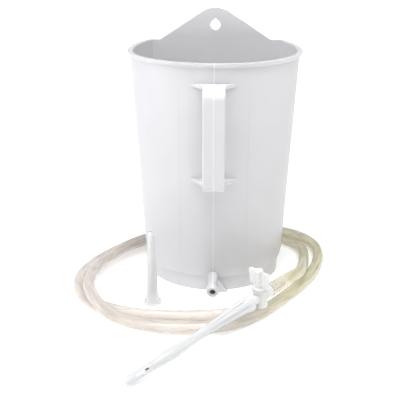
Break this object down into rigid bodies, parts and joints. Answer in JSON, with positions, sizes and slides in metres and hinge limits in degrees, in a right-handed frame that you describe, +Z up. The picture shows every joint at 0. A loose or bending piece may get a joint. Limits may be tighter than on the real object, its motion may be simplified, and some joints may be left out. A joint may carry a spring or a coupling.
{
  "type": "irrigator can set",
  "caption": "Tall D-shaped hanging can with a loop handle and bottom outlet, a coiled hose with a stopcock and long cannula, and a short cannula beside it.",
  "frame": {"origin": "on the floor, under the middle of the can's outside size (handle and outlet included)", "axes": "+Z up, +Y towards the can's flat back, -Y towards the handle and outlet, +X to the right as seen from the handle's side"},
  "size_m": [0.2412, 0.2954, 0.2444],
  "materials": {
    "can_plastic": "smooth moulded, slightly glossy",
    "hose_pvc": "soft clear vinyl, glossy, faintly yellow",
    "tap_plastic": "smooth moulded",
    "key_plastic": "smooth moulded",
    "cannula_plastic": "milky, slightly translucent"
  },
  "bodies": {
    "set": {"can": "can_plastic", "hose": "hose_pvc", "tap_body": "tap_plastic"},
    "key": {"tap_key": "key_plastic"},
    "long_cannula": {"long_cannula": "cannula_plastic"},
    "short_cannula": {"short_cannula": "cannula_plastic"}
  },
  "joints": [
    {"name": "key_turn", "type": "hinge", "parent": "set", "child": "key", "pos_m": [0.04131, -0.07968, 0.02136], "axis": [-0.0733, -0.0746, 0.9945], "range_deg": [0, 90]},
    {"name": "long_cannula_pull", "type": "slide", "parent": "set", "child": "long_cannula", "axis": [-0.6971, -0.7093, -0.1045], "range_m": [0, 0.015]},
    {"name": "short_cannula_lift", "type": "slide", "parent": "set", "child": "short_cannula", "axis": [0, 0, 1], "range_m": [0, 0.08]}
  ]
}
